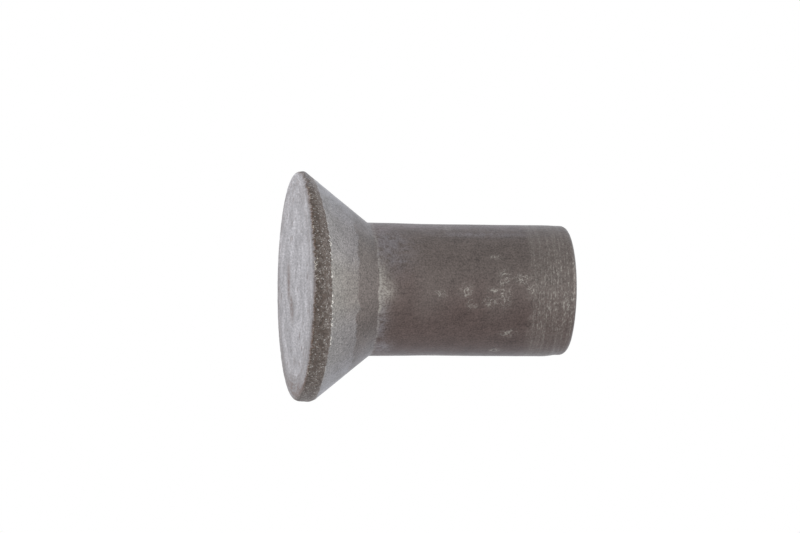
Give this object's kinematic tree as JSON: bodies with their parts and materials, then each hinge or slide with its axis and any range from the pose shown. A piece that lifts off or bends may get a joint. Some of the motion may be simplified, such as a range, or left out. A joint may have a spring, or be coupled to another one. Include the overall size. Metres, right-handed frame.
{
  "type": "countersunk solid rivet",
  "caption": "Solid steel rivet with a flat countersunk head and a plain round shank, hammered over to join plates flush.",
  "frame": {"origin": "centre of the head's flat face, on the rivet's axis", "axes": "+Z along the rivet's axis, from the head's face to the shank's end; X and Y are any two radial directions"},
  "size_m": [0.014, 0.014, 0.0167],
  "materials": {
    "steel": "plain dark steel with a thin scale, rubbed brighter on the face and the cone"
  },
  "bodies": {
    "root": {"rivet": "steel"}
  },
  "joints": []
}
